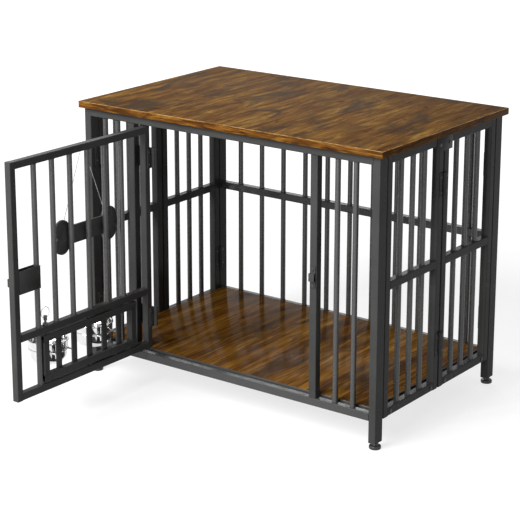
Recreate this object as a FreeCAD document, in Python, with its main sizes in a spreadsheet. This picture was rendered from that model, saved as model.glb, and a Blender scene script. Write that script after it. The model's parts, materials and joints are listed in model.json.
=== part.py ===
import FreeCAD, Part
import math
import os
import re
import Sketcher

# Dog crate end table. X runs along the front, Y from front to back, Z up.
# The origin is on the floor, under the middle of the frame. All sizes are millimetres.

sizes = {
    # wooden boards
    "topOverhangX": 10, "topOverhangY": 9, "topThick": 15, "topChamfer": 1,
    "boardThick": 12, "boardGap": 3, "boardLift": 10,
    # welded frame
    "frameLength": 790, "frameDepth": 500, "postWide": 18, "postDeep": 28,
    "postLength": 615, "tubeSize": 18, "tubeWall": 1.2, "tubeCorner": 2,
    "barSize": 12, "floorGap": 15, "railBottom": 63, "middleRailBottom": 341,
    "rearBarPitch": 65, "ledgeWide": 24, "ledgeThick": 2, "ledgeDrop": 9,
    "hingeBay": 109, "doorwayWide": 475,
    # folding side panels
    "panelGap": 2, "panelTopGap": 2,
    "bracketLength": 60, "bracketHeight": 30, "bracketThick": 2, "bracketDrop": 3,
    "screwHead": 8, "screwRise": 2, "screwEdge": 10,
    # hinges of the side panels
    "foldHeight": 53, "foldReach": 16, "foldThick": 1.5, "foldBarrel": 7, "foldPin": 3.4,
    "foldUpper": 523, "foldLower": 165, "foldClear": 4.2,
    # levelling feet
    "footPad": 26, "footPadHeight": 8, "footRound": 3, "footNut": 14, "footStud": 8,
    "footStudLength": 18, "insertHeight": 24, "footGap": 0.3,
    # door
    "doorAxisIn": 38, "doorAxisBehind": 21, "doorAngle": 91, "doorStart": 6, "doorGap": 2,
    "doorBottom": 93, "doorHeight": 516, "doorTube": 16, "doorFace": 5,
    "doorMiddleBottom": 221, "doorBarPitch": 53.5, "latchBarIn": 74,
    "runGap": 0.05,
    # butt hinges of the door
    "buttHeight": 46, "buttReach": 16, "buttPlate": 2, "buttBarrel": 8, "buttPin": 4,
    "buttUpper": 536, "buttLower": 166, "buttClear": 6.5, "buttMount": 48, "knuckleGap": 0.3,
    # slide latch
    "latchHeight": 350, "latchPlateHeight": 50, "latchPlateThick": 2, "latchBarCover": 4,
    "boltHigh": 12, "boltThick": 4, "boltBack": 63, "boltFront": 4, "boltGap": 0.5,
    "knobAt": 35, "knobStem": 5, "knobSize": 10, "knobReach": 20,
    "guideThick": 2, "guideWide": 10, "guideClear": 0.8, "guideEdge": 14,
    "keeperWide": 14, "keeperWing": 15, "keeperScrew": 7, "keeperScrewEdge": 6,
    # swivel feeder
    "pivotAt": 207, "feederHalf": 146, "feederGap": 4, "slatPitch": 47.5, "slatWide": 15,
    "slatThick": 4, "pivotPin": 6, "pivotWasher": 12, "pivotDepth": 9, "washerGap": 0.3,
    "bowlOut": 55.5, "ringWire": 4, "ringLift": 44, "ringSeat": 0.3,
    "bowlTop": 43, "bowlSide": 40, "bowlFoot": 33, "bowlBand": 19, "bowlDeep": 32,
    "bowlBend": 12, "bowlHeel": 3, "bowlWall": 1, "bowlLip": 46, "bowlLipHigh": 3,
    # lock pin of the feeder
    "lockBarIn": 21, "lockPin": 5, "lockLift": 1.5, "lockHeadGap": 11, "lockHead": 8,
    "lockHeadHigh": 10, "lockSleeve": 12, "lockSleeveHigh": 4.5, "pullRing": 12, "pullWire": 1,
    "pullHole": 2.2,
    # hanging sign
    "signAt": 200, "signHalf": 95, "signThick": 5, "lobeRadius": 22, "lobeSpread": 16,
    "shankHalf": 20, "signHeight": 412, "signGap": 1, "stringHole": 5, "stringInset": 31,
    "stringRise": 29, "stringSize": 1.5, "stringGap": 0.15, "knotSize": 4.5, "hookWire": 3,
    "hookRise": 4, "hookReach": 11, "hookLip": 4, "tagHole": 4, "tagInset": 17,
}

doc = FreeCAD.newDocument("crateTable")
sheet = doc.addObject("Spreadsheet::Sheet", "Sizes")
for row, (alias, number) in enumerate(sizes.items(), start=1):
    sheet.set(f"A{row}", alias)
    sheet.set(f"B{row}", str(number))
    sheet.setAlias(f"B{row}", alias)
doc.recompute()

nodes = []


def formula(text):
    """Turn a formula with plain size names into one that reads the sheet."""
    return re.sub(r"[A-Za-z]+", lambda word: f"Sizes.{word[0]}" if word[0] in sizes else word[0], text)


def number_of(text):
    """The present value of a formula."""
    return float(sheet.evalExpression(formula(text)))


def bind(piece, **formulas):
    for prop, text in formulas.items():
        piece.setExpression(prop, formula(text))


def place(piece, at=("0", "0", "0"), axis=(0, 0, 1), angle=None):
    """Put a piece at a point given by three formulas, turned by a formula in degrees."""
    piece.Placement = FreeCAD.Placement(FreeCAD.Vector(0, 0, 0), FreeCAD.Rotation(FreeCAD.Vector(*axis), 1))
    for letter, text in zip("xyz", at):
        piece.setExpression(f"Placement.Base.{letter}", formula(text))
    piece.setExpression("Placement.Rotation.Angle", formula(f"({angle or 0}) * 1 deg"))
    return piece


def name_node(piece, label):
    piece.Label = label
    nodes.append(piece)
    return piece


def box(name, low, high):
    """A box between two corners, each given by three formulas."""
    piece = doc.addObject("Part::Box", name)
    bind(piece, Length=f"({high[0]}) - ({low[0]})", Width=f"({high[1]}) - ({low[1]})",
         Height=f"({high[2]}) - ({low[2]})")
    return place(piece, low)


def rod(name, diameter, length, at, along="z"):
    """A round rod that starts at a point and runs along one axis."""
    piece = doc.addObject("Part::Cylinder", name)
    bind(piece, Radius=f"({diameter}) / 2", Height=length)
    turn = {"x": ((0, 1, 0), 90), "y": ((1, 0, 0), -90), "-y": ((1, 0, 0), 90), "z": ((0, 0, 1), 0)}[along]
    return place(piece, at, *turn)


def fuse(name, pieces):
    piece = doc.addObject("Part::MultiFuse", name)
    piece.Shapes = pieces
    return piece


def cut(name, base, tool):
    piece = doc.addObject("Part::Cut", name)
    piece.Base = base
    piece.Tool = tool
    return piece


def group(name, pieces):
    piece = doc.addObject("Part::Compound", name)
    piece.Links = pieces
    return piece


def copy_of(name, piece, at, axis=(0, 0, 1), angle=None):
    link = doc.addObject("App::Link", name)
    link.LinkedObject = piece
    link.LinkTransform = True
    return place(link, at, axis, angle)


def sketch_on(body, name, plane):
    sketch = body.newObject("Sketcher::SketchObject", name)
    face = next(item for item in body.Origin.OriginFeatures if item.Role == plane)
    sketch.AttachmentSupport = [(face, "")]
    sketch.MapMode = "FlatFace"
    return sketch


def draw_polygon(sketch, corners):
    """Draw a closed polygon whose corners are pairs of formulas."""
    first = sketch.GeometryCount
    count = len(corners)
    guess = [(FreeCAD.Vector(*[number_of(part) for part in corner], 0)) for corner in corners]
    for i in range(count):
        sketch.addGeometry(Part.LineSegment(guess[i], guess[(i + 1) % count]), False)
    for i in range(count):
        sketch.addConstraint(Sketcher.Constraint("Coincident", first + i, 2, first + (i + 1) % count, 1))
    for i, (across, up) in enumerate(corners):
        for kind, text in (("DistanceX", across), ("DistanceY", up)):
            index = sketch.addConstraint(Sketcher.Constraint(kind, first + i, 1, number_of(text)))
            sketch.setExpression(f"Constraints[{index}]", formula(text))


def body_on(name, plane, corners, run):
    """A body padded from one polygon, with the pad's length given by a formula."""
    body = doc.addObject("PartDesign::Body", name)
    sketch = sketch_on(body, name + "Outline", plane)
    for polygon in corners:
        draw_polygon(sketch, polygon)
    pad = body.newObject("PartDesign::Pad", name + "Pad")
    pad.Profile = sketch
    sketch.Visibility = False
    bind(pad, Length=run)
    doc.recompute()
    return body


def round_edges(body, size, wanted, kind="Fillet"):
    """Fillet or chamfer the edges of the body's last feature that a test picks out."""
    last = body.Tip
    names = [f"Edge{i}" for i, edge in enumerate(last.Shape.Edges, start=1) if wanted(edge)]
    finish = body.newObject(f"PartDesign::{kind}", body.Name + kind)
    finish.Base = (last, names)
    bind(finish, **{"Radius" if kind == "Fillet" else "Size": size})
    doc.recompute()
    return body


def rectangle(width, depth):
    """Corner formulas of a rectangle about the origin."""
    return [(f"{i} * ({width}) / 2", f"{j} * ({depth}) / 2") for i, j in ((-1, -1), (1, -1), (1, 1), (-1, 1))]


def tube(name, width, depth, length, at, along="z"):
    """A rectangular steel tube with rounded long edges; width is across, depth the other way."""
    inside = rectangle(f"({width}) - 2 * tubeWall", f"({depth}) - 2 * tubeWall")
    body = body_on(name, "XY_Plane", [rectangle(width, depth), inside], length)
    reach = math.hypot(number_of(width), number_of(depth)) / 2 - tiny

    def is_outer(edge):
        points = [vertex.Point for vertex in edge.Vertexes]
        upright = abs(points[0].z - points[1].z) > tiny
        return upright and FreeCAD.Vector(points[0].x, points[0].y, 0).Length > reach

    round_edges(body, "tubeCorner", is_outer)
    turn = {"x": ((0, 1, 0), 90), "y": ((1, 0, 0), -90), "z": ((0, 0, 1), 0)}[along]
    return place(body, at, *turn)


# Formulas that several pieces share.
half_long = "(frameLength / 2)"
half_deep = "(frameDepth / 2)"
frame_base = "(floorGap)"
frame_top = "(floorGap + postLength)"
half_tube = "(tubeSize / 2)"
post_x = f"({half_long} - postWide / 2)"
post_y = f"({half_deep} - postDeep / 2)"
rail_y = f"({half_deep} - {half_tube})"
rail_end = f"({half_long} - postWide)"
rail_length = f"(2 * {rail_end})"
low_rail_top = "(railBottom + tubeSize)"
top_rail_low = f"({frame_top} - tubeSize)"
mid_rail_low = "(middleRailBottom)"
mid_rail_top = "(middleRailBottom + tubeSize)"
hinge_stile_x = f"(hingeBay - {rail_end})"
doorway_start = f"({hinge_stile_x} + tubeSize)"
latch_stile_x = f"({doorway_start} + doorwayWide)"
sides = {"left": -1, "right": 1}
ends = {"front": -1, "rear": 1}
tiny = 0.01


# Wooden boards.
def make_top():
    half_x = f"({half_long} + topOverhangX)"
    half_y = f"({half_deep} + topOverhangY)"
    board = body_on("TableTop", "XY_Plane", [rectangle(f"2 * {half_x}", f"2 * {half_y}")], "topThick")
    top = number_of("topThick")
    round_edges(board, "topChamfer", lambda edge: edge.CenterOfMass.z > top - tiny, "Chamfer")
    place(board, ("0", "0", frame_top))
    name_node(board, "table_top")


board_low = "(railBottom + boardLift)"


def make_floor():
    width = f"(2 * ({half_long} - tubeSize - boardGap))"
    depth = f"(2 * ({half_deep} - tubeSize - boardGap))"
    board = body_on("FloorBoard", "XY_Plane", [rectangle(width, depth)], "boardThick")
    place(board, ("0", "0", board_low))
    name_node(board, "floor_board")
    # angle strips welded to the low rails carry the board
    angle = [("0", "-ledgeDrop"), ("ledgeThick", "-ledgeDrop"), ("ledgeThick", "-ledgeThick"),
             ("ledgeWide", "-ledgeThick"), ("ledgeWide", "0"), ("0", "0")]
    strips = []
    for end, sign in ends.items():
        strip = body_on(f"Ledge{end}", "XZ_Plane", [angle], rail_length)
        # the profile looks inwards from the rail, so the rear strip is turned round
        at = (f"{sign} * {rail_end}", f"{sign} * ({half_deep} - tubeSize)", board_low)
        strips.append(place(strip, at, (0, 0, 1), str(90 * -sign)))
    name_node(group("FloorLedges", strips), "floor_ledges")


def make_posts():
    for end, behind in ends.items():
        for side, across in sides.items():
            at = (f"{across} * {post_x}", f"{behind} * {post_y}", frame_base)
            post = tube(f"Post{end}{side}", "postWide", "postDeep", "postLength", at)
            name_node(post, f"{end}_{side}_post")


def make_rails():
    levels = {"bottom": f"(railBottom + {half_tube})", "middle": f"(middleRailBottom + {half_tube})",
              "top": f"({frame_top} - {half_tube})"}
    for end, behind in ends.items():
        for level, height in levels.items():
            if (end, level) == ("front", "middle"):
                continue
            at = (f"-{rail_end}", f"{behind} * {rail_y}", height)
            rail = tube(f"Rail{end}{level}", "tubeSize", "tubeSize", rail_length, at, "x")
            name_node(rail, f"{end}_{level}_rail")


def make_front():
    tall = f"({top_rail_low} - {low_rail_top})"
    for label, low_x in (("front_hinge_stile", hinge_stile_x), ("front_latch_stile", latch_stile_x)):
        at = (f"({low_x} + {half_tube})", f"-{rail_y}", low_rail_top)
        name_node(tube(label.title().replace("_", ""), "tubeSize", "tubeSize", tall, at), label)
    bars = []
    for side, start, stop in (("left", f"(-{rail_end})", hinge_stile_x),
                              ("right", f"({latch_stile_x} + tubeSize)", rail_end)):
        for i in (1, 2):
            at = (f"({start} + {i} * ({stop} - {start}) / 3)", f"-{rail_y}", low_rail_top)
            bars.append(rod(f"FrontBar{side}{i}", "barSize", tall, at))
    name_node(group("FrontBars", bars), "front_fixed_bars")


spans = {"Low": (low_rail_top, mid_rail_low), "High": (mid_rail_top, top_rail_low)}


def make_rear_bars():
    bars = []
    for i in range(-5, 6):
        for level, (low, high) in spans.items():
            at = (f"{i} * rearBarPitch", rail_y, low)
            bars.append(rod(f"RearBar{level}{i + 5}", "barSize", f"({high} - {low})", at))
    name_node(group("RearBars", bars), "rear_bars")


# Side panels: two leaves on each side, hinged to each other and to the posts.
leaf_top = f"({frame_top} - panelTopGap)"
leaf_outer = f"({half_deep} - postDeep - panelGap)"
leaf_inner = "(panelGap)"


def make_leaf(side, across, end, behind):
    name = f"{end}{side}".title()
    x = f"({across} * ({half_long} - {half_tube}))"
    upright = f"({leaf_top} - railBottom)"
    inner_stile = f"({behind} * ({leaf_inner} + {half_tube}))"
    outer_stile = f"({behind} * ({leaf_outer} - {half_tube}))"
    clear = f"({leaf_outer} - {leaf_inner} - 2 * tubeSize)"
    near = f"({leaf_inner} + tubeSize)" if behind > 0 else f"(-({leaf_outer} - tubeSize))"
    pieces = [tube(f"Stile{name}A", "tubeSize", "tubeSize", upright, (x, inner_stile, "railBottom")),
              tube(f"Stile{name}B", "tubeSize", "tubeSize", upright, (x, outer_stile, "railBottom"))]
    rails = {"Low": "railBottom", "Mid": "middleRailBottom", "Top": f"({leaf_top} - tubeSize)"}
    for level, low in rails.items():
        at = (x, near, f"({low} + {half_tube})")
        pieces.append(tube(f"Cross{name}{level}", "tubeSize", "tubeSize", clear, at, "y"))
    name_node(group(f"Leaf{name}", pieces), f"{side}_{end}_panel_frame")
    bars = []
    leaf_spans = {"Low": (low_rail_top, mid_rail_low), "High": (mid_rail_top, f"({leaf_top} - tubeSize)")}
    for i in (1, 2, 3):
        for level, (low, high) in leaf_spans.items():
            at = (x, f"({near} + {i} * {clear} / 4)", low)
            bars.append(rod(f"Bar{name}{level}{i}", "barSize", f"({high} - {low})", at))
    name_node(group(f"LeafBars{name}", bars), f"{side}_{end}_panel_bars")


def make_panels():
    for side, across in sides.items():
        for end, behind in ends.items():
            make_leaf(side, across, end, behind)


def make_hinge(name, reach, plate_low, plate_high, height, barrel, pin, clear, far_reach=None):
    """The two leaves and the pin of a hinge whose axis is Z, with its middle at the origin.

    The first leaf has the outer knuckles and lies along -X, the second has the middle
    one and lies along +X. plate_low and plate_high are the plates' places along Y.
    """
    third = f"({height} / 3)"
    base = f"(-{height} / 2)"
    leaves = []
    for tag, side, knuckles in (("First", -1, (0, 2)), ("Second", 1, (1,))):
        low_y, high_y = plate_low[tag], plate_high[tag]
        out = far_reach if (far_reach and tag == "First") else reach
        inner, outer = (f"(-{out})", f"(-{clear})") if side < 0 else (clear, out)
        pieces = [box(f"{name}{tag}Plate", (inner, low_y, base), (outer, high_y, f"({height} / 2)"))]
        for k in knuckles:
            low = f"({base} + {k} * {third}{' + knuckleGap / 2' if k else ''})"
            high = f"({base} + {k + 1} * {third}{' - knuckleGap / 2' if k < 2 else ''})"
            tab_x = (f"(-{clear})", "0") if side < 0 else ("0", clear)
            pieces.append(box(f"{name}{tag}Tab{k}", (tab_x[0], low_y, low), (tab_x[1], high_y, high)))
            pieces.append(rod(f"{name}{tag}Barrel{k}", barrel, f"({high} - {low})", ("0", "0", low)))
        bore = rod(f"{name}{tag}Bore", f"({pin} + 2 * runGap)", f"(2 * {height})", ("0", "0", f"(-{height})"))
        leaves.append(cut(f"{name}{tag}", fuse(f"{name}{tag}Whole", pieces), bore))
    shaft = rod(f"{name}Pin", pin, height, ("0", "0", base))
    return leaves[0], leaves[1], shaft


def make_panel_hinges():
    seat = "(-foldBarrel / 2)"
    lows = {"First": seat, "Second": seat}
    highs = {"First": f"({seat} + foldThick)", "Second": f"({seat} + foldThick)"}
    # the plates lie against the tubes, so the axis stands half a barrel off them
    first, second, pin = make_hinge("Fold", "foldReach", lows, highs, "foldHeight", "foldBarrel",
                                    "foldPin", "foldClear")
    firsts, seconds, pins = [], [], []
    for side, across in sides.items():
        outside = f"({across} * ({half_long} + foldBarrel / 2))"
        inside = f"({across} * ({half_long} - tubeSize - foldBarrel / 2))"
        seam = f"({half_deep} - postDeep - panelGap / 2)"
        spots = {"Seam": (outside, "0", -90 * across)}
        for end, behind in ends.items():
            spots[f"Corner{end}"] = (inside, f"({behind} * {seam})", 90 * across)
        for spot, (x, y, angle) in spots.items():
            for level in ("foldUpper", "foldLower"):
                tag = f"{spot}{side}{level}".title()
                at = (x, y, level)
                firsts.append(copy_of("A" + tag, first, at, angle=str(angle)))
                seconds.append(copy_of("B" + tag, second, at, angle=str(angle)))
                pins.append(copy_of("C" + tag, pin, at, angle=str(angle)))
    name_node(group("PanelHingeOuter", firsts), "panel_hinge_outer_leaves")
    name_node(group("PanelHingeInner", seconds), "panel_hinge_middle_leaves")
    name_node(group("PanelHingePins", pins), "panel_hinge_pins")


def make_seam_brackets():
    brackets, screws = [], []
    for side, across in sides.items():
        faces = (f"({half_long})", f"({half_long} + bracketThick)")
        low, high = faces if across > 0 else (f"(-{faces[1]})", f"(-{faces[0]})")
        z_high = f"({frame_top} - bracketDrop)"
        brackets.append(box(f"Bracket{side}", (low, "-bracketLength / 2", f"({z_high} - bracketHeight)"),
                            (high, "bracketLength / 2", z_high)))
        for behind in (-1, 1):
            at = (f"({across} * ({half_long} + bracketThick))",
                  f"({behind} * (bracketLength / 2 - screwEdge))", f"({z_high} - bracketHeight / 2)")
            at = at if across > 0 else (f"({at[0]} - screwRise)", at[1], at[2])
            screws.append(rod(f"BracketScrew{side}{behind + 1}", "screwHead", "screwRise", at, "x"))
            for near, spot in (("Seam", f"({leaf_inner} + tubeSize + screwEdge)"),
                               ("Post", f"({leaf_outer} - tubeSize - screwEdge)")):
                low_x = f"{half_long}" if across > 0 else f"(-{half_long} - screwRise)"
                at = (low_x, f"({behind} * {spot})", f"(railBottom + {half_tube})")
                screws.append(rod(f"{near}Screw{side}{behind + 1}", "screwHead", "screwRise", at, "x"))
    name_node(group("SeamBrackets", brackets), "seam_brackets")
    return screws


# Levelling feet: a plug with a nut in each post, and a pad on a stud that screws into it.
def make_feet():
    walls = "(2 * tubeWall)"
    plugs = []
    bore = "(footStud + 2 * runGap)"
    for end, behind in ends.items():
        for side, across in sides.items():
            tag = f"{end}{side}".title()
            x, y = f"({across} * {post_x})", f"({behind} * {post_y})"
            half_w = f"((postWide - {walls}) / 2)"
            half_d = f"((postDeep - {walls}) / 2)"
            block = box(f"Plug{tag}", (f"({x} - {half_w})", f"({y} - {half_d})", frame_base),
                        (f"({x} + {half_w})", f"({y} + {half_d})", f"({frame_base} + insertHeight)"))
            hole_low = f"({frame_base} - insertHeight / 2)"
            hole = rod(f"PlugBore{tag}", bore, "(2 * insertHeight)", (x, y, hole_low))
            plugs.append(cut(f"Nut{tag}", block, hole))
            pad = rod(f"Pad{tag}", "footPad", "footPadHeight", (x, y, "0"))
            doc.recompute()
            soft = doc.addObject("Part::Fillet", f"PadRound{tag}")
            soft.Base = pad
            top_edge = max(range(len(pad.Shape.Edges)), key=lambda i: pad.Shape.Edges[i].CenterOfMass.z)
            curve = number_of("footRound")
            soft.Edges = [(top_edge + 1, curve, curve)]
            neck = rod(f"Neck{tag}", "footNut", f"({frame_base} - footGap - footPadHeight)",
                       (x, y, "footPadHeight"))
            stud = rod(f"Stud{tag}", "footStud", "footStudLength", (x, y, f"({frame_base} - footGap)"))
            name_node(fuse(f"Foot{tag}", [soft, neck, stud]), f"{end}_{side}_foot")
    name_node(group("FootPlugs", plugs), "foot_plugs")


# Door. Its pieces are drawn as if it were shut: X runs from the hinge axis towards the
# latch, Y is square to the door with the outside at -Y. It is then turned open.
door_at = (f"({doorway_start} + doorAxisIn)", f"(doorAxisBehind - {half_deep})", "0")
door_in = "(-doorFace)"
door_out = "(-doorFace - doorTube)"
door_mid = "(-doorFace - doorTube / 2)"
door_top = "(doorBottom + doorHeight)"
door_low_top = "(doorBottom + doorTube)"
door_mid_top = "(doorMiddleBottom + doorTube)"
door_high_low = f"({door_top} - doorTube)"
door_end = "(doorwayWide - doorAxisIn - doorGap)"
latch_stile = f"({door_end} - doorTube)"
first_bar = f"({door_end} - latchBarIn)"
lock_at = f"({first_bar} - lockBarIn)"
feeder_low = f"({door_low_top} + feederGap)"
feeder_high = "(doorMiddleBottom - feederGap)"


def door_node(label, pieces):
    whole = group(label.title().replace("_", ""), pieces)
    name_node(place(whole, door_at, angle="-doorAngle"), label)


def make_door_frame():
    for label, x in (("door_hinge_stile", "(doorStart + doorTube / 2)"),
                     ("door_latch_stile", f"({door_end} - doorTube / 2)")):
        stile = tube(label + "Tube", "doorTube", "doorTube", "doorHeight", (x, door_mid, "doorBottom"))
        door_node(label, [stile])
    start = "(doorStart + doorTube)"
    width = f"({latch_stile} - {start})"
    lows = {"bottom": "doorBottom", "middle": "doorMiddleBottom", "top": door_high_low}
    for level, low in lows.items():
        rail = tube(f"DoorRail{level}", "doorTube", "doorTube", width,
                    (start, door_mid, f"({low} + doorTube / 2)"), "x")
        if level == "middle":
            hole = rod("LockHole", "(lockPin + 2 * runGap)", "(3 * doorTube)",
                       (lock_at, door_mid, "(doorMiddleBottom - doorTube)"))
            rail = cut("DoorRailDrilled", rail, hole)
        door_node(f"door_{level}_rail", [rail])
    bars = []
    for i in range(6):
        x = f"({first_bar} - {i} * doorBarPitch)"
        tall = f"({door_high_low} - {door_mid_top})"
        bars.append(rod(f"DoorBar{i}", "barSize", tall, (x, door_mid, door_mid_top)))
    bars.append(rod("DoorBarLow", "barSize", f"(doorMiddleBottom - {door_low_top})",
                    (first_bar, door_mid, door_low_top)))
    door_node("door_bars", bars)


def make_door_hinges():
    frame_face = "(tubeSize - doorAxisBehind)"
    lows = {"First": frame_face, "Second": door_in}
    highs = {"First": f"({frame_face} + buttPlate)", "Second": f"({door_in} + buttPlate)"}
    first, second, pin = make_hinge("Butt", "buttReach", lows, highs, "buttHeight", "buttBarrel",
                                    "buttPin", "buttClear", "buttMount")
    firsts, seconds, pins = [], [], []
    for level in ("buttUpper", "buttLower"):
        at = (door_at[0], door_at[1], level)
        firsts.append(copy_of("Frame" + level, first, at))
        pins.append(copy_of("Pin" + level, pin, at))
        seconds.append(copy_of("Door" + level, second, at, angle="-doorAngle"))
    name_node(group("DoorHingeFrameLeaves", firsts), "door_hinge_frame_leaves")
    name_node(group("DoorHingeDoorLeaves", seconds), "door_hinge_door_leaves")
    name_node(group("DoorHingePins", pins), "door_hinge_pins")


bolt_front = f"({door_out} - boltGap - boltThick)"
bolt_low = "(latchHeight - boltHigh / 2)"
bolt_high = "(latchHeight + boltHigh / 2)"
slot_deep = "(boltGap + boltThick + guideClear)"
slot_half = "(boltHigh / 2 + guideClear)"


def make_staple(name, low_x, wide, face):
    """A bent strap that stands off a face towards -Y and leaves room for the bolt."""
    out = f"({slot_half} + guideThick)"
    strap = box(name + "Strap", (low_x, f"({face} - {slot_deep} - guideThick)", f"(latchHeight - {out})"),
                (f"({low_x} + {wide})", face, f"(latchHeight + {out})"))
    slot = box(name + "Slot", (f"({low_x} - 1)", f"({face} - {slot_deep})", f"(latchHeight - {slot_half})"),
               (f"({low_x} + {wide} + 1)", f"({face} + 1)", f"(latchHeight + {slot_half})"))
    return cut(name, strap, slot)


def make_latch():
    low = "(latchHeight - latchPlateHeight / 2)"
    high = "(latchHeight + latchPlateHeight / 2)"
    start = f"({first_bar} - latchBarCover)"
    back = f"({door_in} - latchPlateThick)"
    front = f"({door_out} + latchPlateThick)"
    plates = [box("LatchPlateIn", (start, back, low), (latch_stile, door_in, high)),
              box("LatchPlateOut", (start, door_out, low), (latch_stile, front, high))]
    door_node("latch_plates", plates)
    guides = [make_staple("GuideBack", f"({door_end} - boltBack)", "guideWide", door_out),
              make_staple("GuideFront", f"({door_end} - guideEdge)", "guideWide", door_out)]
    door_node("latch_guides", guides)
    bolt = box("Bolt", (f"({door_end} - boltBack)", bolt_front, bolt_low),
               (f"({door_end} - boltFront)", f"({bolt_front} + boltThick)", bolt_high))
    door_node("latch_bolt", [bolt])
    knob_x = f"({door_end} - knobAt)"
    stem = rod("KnobStem", "knobStem", "knobReach", (knob_x, bolt_front, "latchHeight"), "-y")
    ball = doc.addObject("Part::Sphere", "KnobBall")
    bind(ball, Radius="knobSize / 2")
    place(ball, (knob_x, f"({bolt_front} - knobReach)", "latchHeight"))
    door_node("latch_knob", [fuse("Knob", [stem, ball])])
    face = f"(-{half_deep})"
    low_x = f"({latch_stile_x} + (tubeSize - keeperWide) / 2)"
    high_x = f"({low_x} + keeperWide)"
    keeper = [make_staple("Keeper", low_x, "keeperWide", face)]
    screws = []
    for sign in (-1, 1):
        inner = f"({slot_half} + guideThick)"
        outer = f"({inner} + keeperWing)"
        ends_z = (f"(latchHeight - {outer})", f"(latchHeight - {inner})")
        if sign > 0:
            ends_z = (f"(latchHeight + {inner})", f"(latchHeight + {outer})")
        keeper.append(box(f"KeeperWing{sign + 1}", (low_x, f"({face} - guideThick)", ends_z[0]),
                          (high_x, face, ends_z[1])))
        at = (f"({latch_stile_x} + {half_tube})", f"({face} - guideThick)",
              f"(latchHeight + {sign} * ({outer} - keeperScrewEdge))")
        screws.append(rod(f"KeeperScrew{sign + 1}", "keeperScrew", "screwRise", at, "-y"))
    name_node(fuse("LatchKeeper", keeper), "latch_keeper")
    return screws


def make_feeder():
    pivots = []
    for level, low, pin_low in (("Low", door_low_top, door_low_top),
                                ("High", "(doorMiddleBottom - feederGap + washerGap)",
                                 f"({feeder_high} - pivotDepth)")):
        pin = rod(f"PivotPin{level}", "pivotPin", "(feederGap + pivotDepth)", ("pivotAt", door_mid, pin_low))
        washer_high = "(feederGap - washerGap)"
        washer = rod(f"PivotWasher{level}", "pivotWasher", washer_high, ("pivotAt", door_mid, low))
        pivots.append(fuse(f"Pivot{level}", [pin, washer]))
    door_node("feeder_pivots", pivots)
    length = "(2 * feederHalf)"
    start = "(pivotAt - feederHalf)"
    pieces = []
    for level, low in (("Low", feeder_low), ("High", f"({feeder_high} - doorTube)")):
        rail = tube(f"FeederRail{level}", "doorTube", "doorTube", length,
                    (start, door_mid, f"({low} + doorTube / 2)"), "x")
        below = f"({low} - doorTube)"
        through = "(3 * doorTube)"
        bores = [rod(f"PivotBore{level}", "(pivotPin + 2 * runGap)", through, ("pivotAt", door_mid, below))]
        if level == "High":
            for sign in (-1, 1):
                x = f"(pivotAt + {sign} * ({lock_at} - pivotAt))"
                at = (x, door_mid, below)
                bores.append(rod(f"LockBore{sign + 1}", "(lockPin + 2 * runGap)", through, at))
        tool = fuse(f"FeederBores{level}", bores) if len(bores) > 1 else bores[0]
        pieces.append(cut(f"FeederRailDrilled{level}", rail, tool))
    tall = f"({feeder_high} - {feeder_low} - 2 * doorTube)"
    for sign in (-1, 1):
        x = f"(pivotAt + {sign} * (feederHalf - doorTube / 2))"
        pieces.append(tube(f"FeederStile{sign + 1}", "doorTube", "doorTube", tall,
                           (x, door_mid, f"({feeder_low} + doorTube)")))
    door_node("feeder_frame", pieces)
    slats = []
    for i in range(-2, 3):
        x = f"(pivotAt + {i} * slatPitch)"
        low = (f"({x} - slatWide / 2)", f"({door_mid} - slatThick / 2)", f"({feeder_low} + doorTube)")
        high = (f"({x} + slatWide / 2)", f"({door_mid} + slatThick / 2)", f"({feeder_high} - doorTube)")
        slats.append(box(f"Slat{i + 2}", low, high))
    door_node("feeder_slats", slats)


ring_radius = "(bowlSide + ringSeat + ringWire / 2)"
ring_height = f"({feeder_low} + ringLift)"
bowl_seat = f"({ring_height} + ringWire / 2 + ringSeat)"
bowl_y = f"({door_mid} - bowlOut)"


def make_bowls():
    rings = []
    lip = "(bowlDeep + bowlBand)"
    step = "(bowlDeep + bowlWall)"
    outline = [("0", "0"), ("(bowlFoot - bowlHeel)", "0"), ("bowlFoot", "bowlHeel"), ("bowlSide", "bowlBend"),
               ("bowlSide", "bowlDeep"), ("bowlTop", "bowlDeep"), ("bowlTop", f"({lip} - bowlLipHigh)"),
               ("bowlLip", f"({lip} - bowlLipHigh)"), ("bowlLip", lip), ("(bowlTop - bowlWall)", lip),
               ("(bowlTop - bowlWall)", step), ("(bowlSide - bowlWall)", step),
               ("(bowlSide - bowlWall)", "bowlBend"), ("(bowlFoot - bowlWall)", "(bowlHeel + bowlWall / 2)"),
               ("(bowlFoot - bowlHeel - bowlWall / 2)", "bowlWall"), ("0", "bowlWall")]
    for label, sign in (("hinge_side", -1), ("latch_side", 1)):
        x = f"(pivotAt + {sign} * 1.5 * slatPitch)"
        ring = doc.addObject("Part::Torus", f"Ring{label}")
        bind(ring, Radius1=ring_radius, Radius2="ringWire / 2")
        place(ring, (x, bowl_y, ring_height))
        parts = [ring]
        slat_face = f"({door_mid} - slatThick / 2)"
        strut = f"(bowlOut - slatThick / 2 - sqrt(({ring_radius})^2 - (slatPitch / 2)^2))"
        for half in (-1, 1):
            at = (f"({x} + {half} * slatPitch / 2)", slat_face, ring_height)
            parts.append(rod(f"Strut{label}{half + 1}", "ringWire", strut, at, "-y"))
        rings.append(fuse(f"Holder{label}", parts))
        body = doc.addObject("PartDesign::Body", f"Bowl{label}")
        profile = sketch_on(body, f"BowlOutline{label}", "XZ_Plane")
        draw_polygon(profile, outline)
        turned = body.newObject("PartDesign::Revolution", f"BowlTurned{label}")
        turned.Profile = profile
        turned.ReferenceAxis = (profile, ["V_Axis"])
        turned.Angle = 360
        place(body, (x, bowl_y, f"({bowl_seat} - bowlDeep)"))
        door_node(f"bowl_{label}", [body])
    door_node("bowl_rings", rings)


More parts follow.
